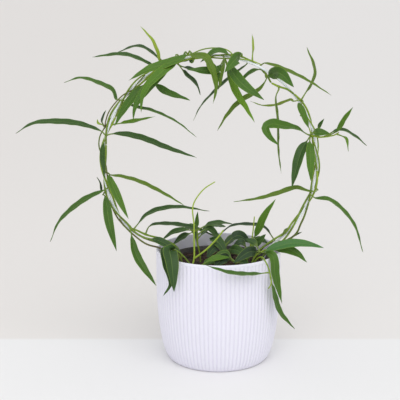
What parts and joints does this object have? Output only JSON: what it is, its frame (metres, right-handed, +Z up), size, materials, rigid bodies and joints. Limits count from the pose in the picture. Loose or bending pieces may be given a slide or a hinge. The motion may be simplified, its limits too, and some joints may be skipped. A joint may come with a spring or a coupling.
{
  "type": "potted hoya plant on a wire hoop",
  "caption": "Narrow-leaved hoya in a ribbed cover pot with a dark inner pot, its stems twined round one bent wire hoop, with leaves and young shoots over the rim.",
  "frame": {"origin": "middle of the pot's flat base, where it stands", "axes": "+Z is up, +X runs along the hoop to the right as seen from the front, -Y is the front"},
  "size_m": [0.378, 0.157, 0.373],
  "materials": {
    "pot_plastic": "pale lavender-white satin plastic with fine upright ribs",
    "nursery_plastic": "thin dark plastic",
    "soil": "dark peat and bark potting mix",
    "wire_coating": "pale blue-white coated wire, satin",
    "foliage": "thick narrow leaves, deep green to yellow green, waxy sheen",
    "young_shoot": "young yellow-green shoot"
  },
  "bodies": {
    "root": {"cover_pot": "pot_plastic", "nursery_pot": "nursery_plastic", "potting_soil": "soil", "hoop": "wire_coating", "vine_left_low": "foliage", "vine_left_low_back": "foliage", "vine_left_bare": "foliage", "vine_left_high": "foliage", "vine_left_high_back": "foliage", "vine_top": "foliage", "vine_right_low": "foliage", "vine_right_high": "foliage", "vine_right_shoulder": "foliage", "vine_top_right": "foliage", "vine_right_hub_low": "foliage", "vine_right_hub": "foliage", "vine_right_slack_low": "foliage", "vine_right_slack": "foliage", "stem_over_left_rim": "foliage", "stem_back": "foliage", "stem_middle": "foliage", "stem_low_right": "foliage", "stem_right": "foliage", "stem_right_upright": "foliage", "stem_over_front_rim": "foliage", "sprout_front": "foliage", "shoot_tall": "young_shoot"}
  },
  "joints": []
}
